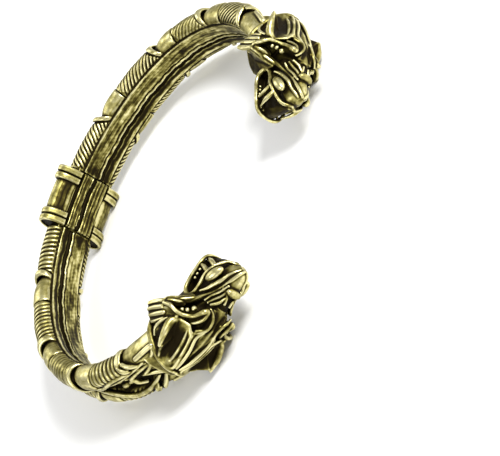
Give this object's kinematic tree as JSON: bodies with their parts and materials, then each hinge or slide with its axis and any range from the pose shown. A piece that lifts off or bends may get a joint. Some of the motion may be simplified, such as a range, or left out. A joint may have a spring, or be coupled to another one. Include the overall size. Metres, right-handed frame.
{
  "type": "open cast arm ring with two beast heads",
  "caption": "Open oval cuff of twin hatched tubes, joined by a ringed sleeve, with a carved beast head on each end and a gap for the wrist",
  "frame": {"origin": "middle of the bounding box's bottom, under the centre of the wrist oval, on the surface that the ring lies on", "axes": "+X from the sleeve to the gap, +Y towards the left arm, +Z along the wrist axis"},
  "size_m": [0.0592, 0.0704, 0.0132],
  "materials": {
    "antique_bronze": "antiqued"
  },
  "bodies": {
    "root": {"arm_left": "antique_bronze", "arm_right": "antique_bronze", "sleeve": "antique_bronze"}
  },
  "joints": []
}
